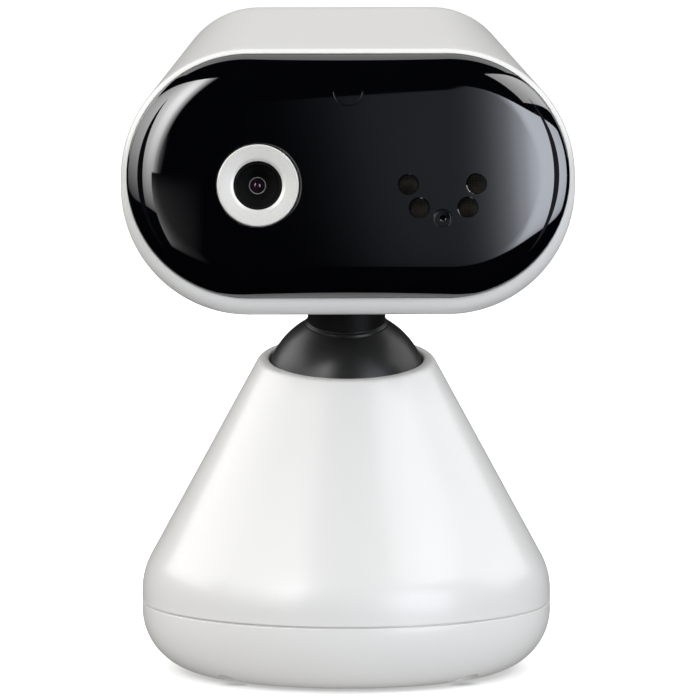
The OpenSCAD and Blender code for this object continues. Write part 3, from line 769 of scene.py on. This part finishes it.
def window_normal(x, y, step=0.02):
    """The outward direction of the window's outer face."""
    dx = (window_height(x + step, y) - window_height(x - step, y)) / (2 * step)
    dy = (window_height(x, y + step) - window_height(x, y - step)) / (2 * step)
    return Vector((-dx, -dy, 1)).normalized()


def window():
    """The domed window as one lens-like skin: flat rear deck, skirt, rolled edge and dome."""
    deck_r = WINDOW_R - SKIRT_WALL
    sides = []
    for spoke in spokes(WINDOW_HALF):
        path = [on_spoke(spoke, deck_r * k / 8, DECK_Z) for k in range(9)]
        path += [on_spoke(spoke, r, z) for r, z in ((deck_r, -4.0), (WINDOW_R, -4.0), (WINDOW_R, -3.0))]
        radii = [WINDOW_R - ROLL * (1 - math.cos(math.pi / 2 * k / 18)) for k in range(19)]
        radii += [radii[-1] * (1 - k / 14) for k in range(1, 15)]
        for r in radii:
            point = on_spoke(spoke, r, 0)
            path.append(Vector((point.x, point.y, window_height(point.x, point.y))))
        sides.append(path)
    return make("domed_window", *loft(across(sides), closed=False), FACE)


def on_dome(place):
    """A frame on the window's outer face at (x, y)."""
    return on_face(place) @ Matrix.Translation((0, 0, window_height(*place)))


def chamfered_hole(r, foot, chamfer, top):
    """The profile of a cutter for a hole down to foot, with a chamfer at the surface."""
    return [(0, foot), (r, foot), (r, -0.12), (r + chamfer, 0.1), (r + chamfer, top), (0, top)]


def cut_window(skin):
    """Cuts the lens hole, the lamp recesses, the microphone's dish and pinhole, and the sensor's ring."""
    lens_hole = chamfered_hole(RING_R + 0.2, -8, 0.25, 3)
    lamp_hole = chamfered_hole(LAMP_WINDOW_R, -1.1, 0.22, 2)
    cutters = [revolve("hole", lens_hole, on_dome(LENS), 128, closed=False)]
    cutters += [revolve("lamp", lamp_hole, on_dome(lamp), 64, closed=False) for lamp in LAMPS]
    pinhole = [(0, -3), (0.42, -3), (0.42, -0.2), (0.55, -0.1)]
    dish = [(1.3, -0.08), (1.34, -0.2), (1.5, -0.2), (1.62, 0.08), (1.62, 2), (0, 2)]
    cutters.append(revolve("mic", pinhole + dish, on_dome(MIC), 64, closed=False))
    inner, outer = SENSOR_R - 0.12, SENSOR_R + 0.12
    groove = [(inner, 2), (inner, 0), (SENSOR_R, -0.03), (outer, 0), (outer, 2)]
    cutters.append(revolve("sensor", groove, on_dome(SENSOR), 64))
    for cutter in cutters:
        combine(skin, cutter)
    return skin


def polish(skin):
    """Gives the window's outer face the dome's own normals, so that no facet shows in its reflections."""
    mesh = skin.data
    into_face = FACE.inverted()
    turn = FACE.to_3x3().normalized()
    turn_back = turn.inverted()
    normals = []
    for poly in mesh.polygons:
        facing = turn_back @ poly.normal
        for index in poly.loop_indices:
            point = into_face @ mesh.vertices[mesh.loops[index].vertex_index].co
            outside = abs(point.z - window_height(point.x, point.y)) < 0.02
            ideal = window_normal(point.x, point.y)
            if outside and facing.dot(ideal) > 0.9:
                normals.append(turn @ ideal)
            else:
                normals.append(Vector((0, 0, 0)))
    mesh.normals_split_custom_set(normals)


def lens_ring():
    """The trim ring: a shallow cone facing the lens, on a flange that holds it under the window."""
    outer = RING_R - 0.04
    flange = RING_R + 1
    corners = [
        (RING_HOLE_R, -1.2, 0), (RING_HOLE_R, 1.95, 0.12), (RING_HOLE_R + 0.5, 2.2, 0.15),
        (RING_R - 0.22, 2.5, 0.12), (outer, 2.3, 0.1), (outer, -1.2, 0.05),
        (flange, -1.2, 0.05), (flange, -1.9, 0.05), (RING_HOLE_R, -1.9, 0.05), (RING_HOLE_R, -1.2, 0),
    ]
    return revolve("trim_ring", rounded(corners)[:-1], on_face(LENS), 128)


def lens_shroud():
    """The stepped black funnel between the ring and the lens."""
    outer = RING_HOLE_R - 0.06
    corners = [
        (1.5, -2.6, 0), (1.5, -2.25, 0.05), (2.1, -2.1, 0.05), (2.1, -1.5, 0.08),
        (2.45, -1.3, 0.08), (2.45, -0.7, 0.08), (2.9, -0.5, 0.08), (2.9, 0.2, 0.08),
        (3.4, 0.5, 0.08), (3.6, 1.5, 0.1), (outer, 1.75, 0.1), (outer, -3.6, 0.05),
        (6, -4.2, 0.05), (6, -5, 0.05), (3.45, -5, 0.05), (3.45, -2.6, 0),
    ]
    return revolve("stepped_shroud", rounded(corners), on_face(LENS), 128)


def front_lens():
    """The small domed front element."""
    dome = [(1.3 * math.sin(a), -3.3 + 1.05 * math.cos(a)) for a in (math.pi / 2 * k / 12 for k in range(13))]
    return revolve("front_lens_glass", dome + [(1.3, -3.6), (0, -3.6)], on_face(LENS), 64, closed=False)


def lens_rim_highlight():
    """The ground edge of the front lens, a thin ring whose pale grey is a painted highlight for the light that the
    edge catches.
    """
    profile = [polar(0.09, TURN * k / 12) for k in range(12)]
    return revolve("lens_rim_highlight", [(1.4 + x, -2.55 + z) for x, z in profile], on_face(LENS), 64)


def lamp_covers():
    """A slightly domed dotted cover at the foot of each lamp recess."""
    rim = LAMP_WINDOW_R - 0.04
    dome = [(0, -1.0), (1.2, -1.0), (rim, -0.9), (rim, -0.42), (1.2, -0.36), (0.6, -0.32), (0, -0.31)]
    return join([revolve("lamp_covers", dome, on_dome(lamp), 48, closed=False) for lamp in LAMPS])


def button(name):
    """A button's cap, with a hollowed crown, a collar under the shell and a stem to its switch."""
    top = BACK_OUT + BACK_ROUND + BUTTON_PROUD
    under = BACK_OUT + BACK_ROUND - HEAD_WALL
    collar_r = BUTTON_R + 0.6
    stem = [(0, under - 4.7, 0), (1.5, under - 4.7, 0.1), (1.5, under - 1.1, 0)]
    collar = [(collar_r, under - 1.1, 0.1), (collar_r, under - 0.1, 0.1), (BUTTON_R, under - 0.1, 0)]
    crown = [(BUTTON_R, top, 0.5), (1.6, top - 0.02, 0), (0.8, top - 0.16, 0), (0, top - 0.22, 0)]
    return revolve(name + "_cap", rounded(stem + collar + crown), on_back(BUTTONS[name]), 64, closed=False)


def build():
    """Makes every visual piece, on its body, in place of the CAD node that it shows."""
    white = material_of("shell_gloss_white")
    finish_piece(base_shell(), white, "base", "shell_gloss_white", "base_shell")
    finish_piece(bottom_cover(), white, "base", "shell_gloss_white", "bottom_cover")
    finish_piece(pad(), material_of("pad_rubber"), "base", "pad_rubber", "anti_slip_pad")
    finish_piece(ball_and_neck(), material_of("ball_black"), "stem", "ball_black", "ball_stem")
    finish_piece(front_shell(), white, "head", "shell_gloss_white", "front_shell")
    finish_piece(rear_shell(), white, "head", "shell_gloss_white", "rear_shell")
    skin = cut_window(window())
    finish_piece(skin, material_of("window_black"), "head", "window_black", "front_window")
    polish(skin)
    edge = lens_rim_highlight()
    # pale grey stands in for light caught by the lens edge: a painted highlight
    finish_piece(edge, moulded("pale_ring_painted_highlight", (0.5, 0.5, 0.5), 0.4).material, "head", "lens_glass")
    finish_piece(lamp_covers(), dotted_black().material, "head", "window_black")
    finish_piece(lens_ring(), material_of("ring_silver"), "head", "ring_silver", "lens_ring")
    finish_piece(lens_shroud(), material_of("lens_black"), "head", "lens_black", "lens_shroud")
    finish_piece(front_lens(), material_of("lens_glass"), "head", "lens_glass", "front_lens")
    for name, body in (("pair_button", "pair_key"), ("power_button", "power_key")):
        finish_piece(button(name), material_of("button_white"), body, "button_white", name)


build()

# ---- studio ----

LOOK_AT = Vector((0.0003, 0, 0.0559))
VIEW_AZIMUTH = -1.0
VIEW_ELEVATION = 7.5
VIEW_DISTANCE = 4.0
LENS_LENGTH = 1196.0
SENSOR_WIDTH = 36

FLOOR_SIZE = 14
FLOOR_GLOW = 0.55
# reach of the floor's painted contact shadow, in metres
CONTACT_SHADOW_REACH = 0.004
BOUNCE_GLOW = 0.75
BOUNCE_R = 60
WORLD_GLOW = 0.24
PANEL_DISTANCE = 1.0


def towards(azimuth, elevation):
    """Unit vector towards an azimuth (0 is the front, + is to the right) and elevation in degrees."""
    a, e = math.radians(azimuth), math.radians(elevation)
    return Vector((math.sin(a) * math.cos(e), -math.cos(a) * math.cos(e), math.sin(e)))


def camera():
    """A long lens at the photograph's viewing angle."""
    data = bpy.data.cameras.new("camera")
    data.lens = LENS_LENGTH
    data.sensor_width = SENSOR_WIDTH
    eye = bpy.data.objects.new("camera", data)
    bpy.context.scene.collection.objects.link(eye)
    away = towards(VIEW_AZIMUTH, VIEW_ELEVATION)
    eye.location = LOOK_AT + away * VIEW_DISTANCE
    eye.rotation_euler = (-away).to_track_quat("-Z", "Y").to_euler()
    bpy.context.scene.camera = eye


def panel_mesh(name, width, height):
    """A flat rectangle."""
    mesh = bpy.data.meshes.new(name)
    x, y = width / 2, height / 2
    mesh.from_pydata([(-x, -y, 0), (x, -y, 0), (x, y, 0), (-x, y, 0)], [], [(0, 1, 2, 3)])
    panel = bpy.data.objects.new(name, mesh)
    bpy.context.scene.collection.objects.link(panel)
    return panel


def glowing(name):
    """An emission material: (material, its emission node)."""
    material = bpy.data.materials.new(name)
    material.use_nodes = True
    tree = material.node_tree
    tree.nodes.clear()
    glow = tree.nodes.new("ShaderNodeEmission")
    out = tree.nodes.new("ShaderNodeOutputMaterial")
    tree.links.new(glow.outputs["Emission"], out.inputs["Surface"])
    return material, glow


def floor():
    """A pale floor that glows a little, with a painted contact shadow: ambient occlusion darkens the glow where
    the base stands close above it.

    Reflections and bounced light pass through it: bounce() gives its light back.
    """
    plane = panel_mesh("floor", FLOOR_SIZE, FLOOR_SIZE)
    paint = Paint("pale_floor", (0.88, 0.88, 0.88), 0.8)
    paint.mottle(3, 0.01)
    paint.shader.inputs["Emission Color"].default_value = (1, 1, 1, 1)
    # ambient occlusion scales the floor's glow down under the base: a painted contact shadow
    shade = paint.node("ShaderNodeAmbientOcclusion", Distance=CONTACT_SHADOW_REACH)
    glow = paint.node("ShaderNodeMath", operation="MULTIPLY")
    glow.inputs[1].default_value = FLOOR_GLOW
    paint.link(shade.outputs["AO"], glow.inputs[0])
    paint.link(glow.outputs["Value"], paint.shader.inputs["Emission Strength"])
    paint.shader.inputs["Specular IOR Level"].default_value = 0.0
    plane.data.materials.append(paint.material)
    plane.visible_glossy = False
    plane.visible_diffuse = False
    plane.visible_shadow = False


def softbox(name, azimuth, elevation, width, height, across, upward=((0, 1), (1, 1)), tint=(1, 1, 1)):
    """A panel a metre away, facing the object.

    across and upward are (share of the side, brightness) stops, from left to right as the object
    sees it and from bottom to top. Their product is the brightness at a point.
    """
    panel = panel_mesh(name, width, height)
    away = towards(azimuth, elevation)
    panel.location = LOOK_AT + away * PANEL_DISTANCE
    panel.rotation_euler = away.to_track_quat("Z", "Y").to_euler()
    material, glow = glowing(name)
    nodes, links = material.node_tree.nodes, material.node_tree.links
    coords = nodes.new("ShaderNodeTexCoord")
    split = nodes.new("ShaderNodeSeparateXYZ")
    links.new(coords.outputs["Object"], split.inputs["Vector"])
    product = nodes.new("ShaderNodeMath")
    product.operation = "MULTIPLY"
    for index, (axis, side, stops) in enumerate((("X", width, across), ("Y", height, upward))):
        share = nodes.new("ShaderNodeMapRange")
        share.inputs["From Min"].default_value = -side / 2
        share.inputs["From Max"].default_value = side / 2
        links.new(split.outputs[axis], share.inputs["Value"])
        curve = nodes.new("ShaderNodeFloatCurve")
        points = curve.mapping.curves[0].points
        top = max(level for _, level in stops)
        while len(points) < len(stops):
            points.new(0.5, 0.5)
        for point, (place, level) in zip(points, stops):
            point.location = (place, level / top)
            point.handle_type = "AUTO_CLAMPED"
        curve.mapping.update()
        links.new(share.outputs["Result"], curve.inputs["Value"])
        scale = nodes.new("ShaderNodeMath")
        scale.operation = "MULTIPLY"
        scale.inputs[1].default_value = top
        links.new(curve.outputs["Value"], scale.inputs[0])
        links.new(scale.outputs["Value"], product.inputs[index])
    glow.inputs["Color"].default_value = (*tint, 1)
    links.new(product.outputs["Value"], glow.inputs["Strength"])
    panel.data.materials.append(material)
    panel.visible_camera = False


def bounce():
    """A glowing ring just under the floor round the base, in place of the light that a floor gives back."""
    ring = revolve("bounce", [(PAD_R + 1, -1), (BOUNCE_R, -1)], UPRIGHT, 64, closed=False)
    material, glow = glowing("bounce")
    glow.inputs["Strength"].default_value = BOUNCE_GLOW
    ring.data.materials.append(material)
    ring.visible_camera = False
    ring.visible_glossy = False


def studio():
    """A graded panel at the front right, panels at the left, at both sides and behind, and a soft top."""
    world = bpy.data.worlds.new("studio")
    bpy.context.scene.world = world
    world.use_nodes = True
    sky = world.node_tree.nodes["Background"]
    sky.inputs["Color"].default_value = (1, 1, 1, 1)
    sky.inputs["Strength"].default_value = WORLD_GLOW
    world.cycles_visibility.glossy = False
    softbox(
        "front_right", 28, 8.7, 1.3, 0.65,
        (
            (0, 0), (0.06, 0.01), (0.1, 0.04), (0.14, 0.1), (0.3, 0.24),
            (0.38, 0.7), (0.45, 2), (0.58, 4.2), (1, 3.6),
        ),
        ((0, 0.5), (0.12, 0.85), (0.6, 1), (1, 0.95)),
        (0.86, 0.91, 1.0),
    )
    softbox(
        "left_front", -50, 22, 0.93, 0.85,
        ((0, 2.2), (0.5, 3), (0.68, 4.4), (0.8, 6), (0.9, 3.4), (0.97, 1), (1, 0)),
        ((0, 0.1), (0.2, 0.4), (0.5, 0.9), (0.75, 1.1), (1, 0.9)),
    )
    softbox(
        "left_spill", -24, -2, 0.3, 0.4,
        ((0, 0.9), (0.4, 0.25), (1, 0)),
        ((0, 0.3), (0.3, 1), (0.7, 0.7), (1, 0)),
    )
    softbox("left_back", -110, 28, 0.9, 0.6, ((0, 2.8), (1, 2.8)))
    softbox("right_back", 112, 26, 0.8, 0.6, ((0, 1.7), (1, 1.7)))
    softbox("right_side", 66, 43, 0.9, 0.35, ((0, 2), (0.6, 3.5), (1, 3)))
    softbox("top", 180, 72, 1.4, 1.0, ((0, 1.5), (0.5, 1), (1, 1.5)))
    bounce()
    bpy.context.scene.view_settings.view_transform = "Standard"


camera()
floor()
studio()
